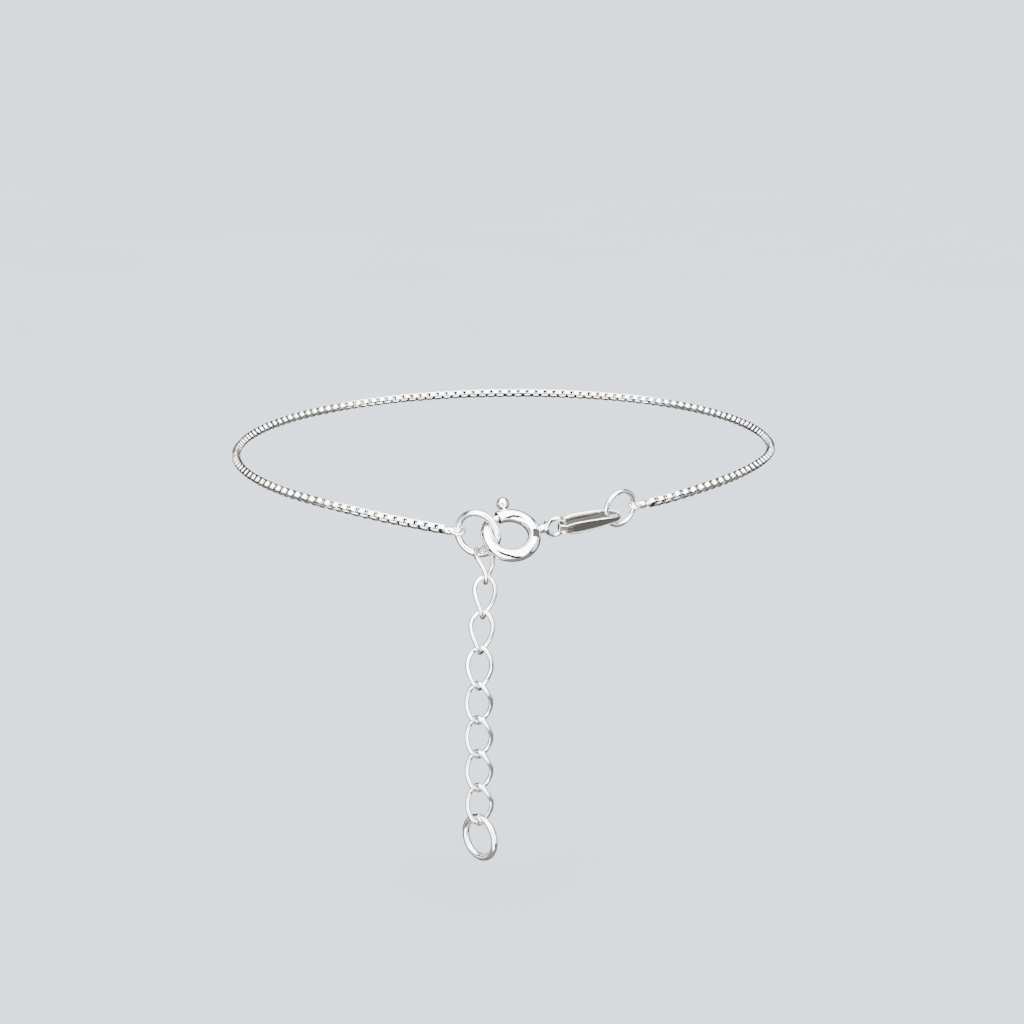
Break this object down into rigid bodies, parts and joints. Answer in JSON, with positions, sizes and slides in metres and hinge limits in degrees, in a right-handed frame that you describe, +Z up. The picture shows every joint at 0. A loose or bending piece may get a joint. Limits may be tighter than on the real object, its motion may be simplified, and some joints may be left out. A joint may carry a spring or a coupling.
{
  "type": "chain anklet",
  "caption": "Fine silver box-chain anklet in its worn loop, with a spring-ring clasp, a folded tag and a short curb-link extender that ends in a ring.",
  "frame": {"origin": "middle of the ankle loop, level with the chain", "axes": "+Z up along the leg, -Y out through the clasp at the front, +X to the right of someone facing the clasp"},
  "size_m": [0.07, 0.0809, 0.0415],
  "materials": {
    "chain_silver": "bright sterling silver, fine links",
    "polished_silver": "polished sterling silver"
  },
  "bodies": {
    "anklet": {"box_chain": "chain_silver", "chain_end_left": "polished_silver", "chain_end_right": "polished_silver", "jump_ring_left": "polished_silver", "jump_ring_right": "polished_silver", "spring_ring": "polished_silver", "tag": "polished_silver", "extender_link_1": "polished_silver", "extender_link_2": "polished_silver", "extender_link_3": "polished_silver", "extender_link_4": "polished_silver", "extender_link_5": "polished_silver", "extender_link_6": "polished_silver", "extender_link_7": "polished_silver", "extender_link_8": "polished_silver", "end_ring": "polished_silver"},
    "trigger": {"trigger": "polished_silver"}
  },
  "joints": [
    {"name": "trigger_slide", "type": "hinge", "parent": "anklet", "child": "trigger", "pos_m": [0.00086, -0.03695, -0.00157], "axis": [-0.0816, 0.6641, -0.7431], "range_deg": [0, 30], "stiffness_Nm_per_rad": 0.004, "springref_deg": -14.9}
  ]
}
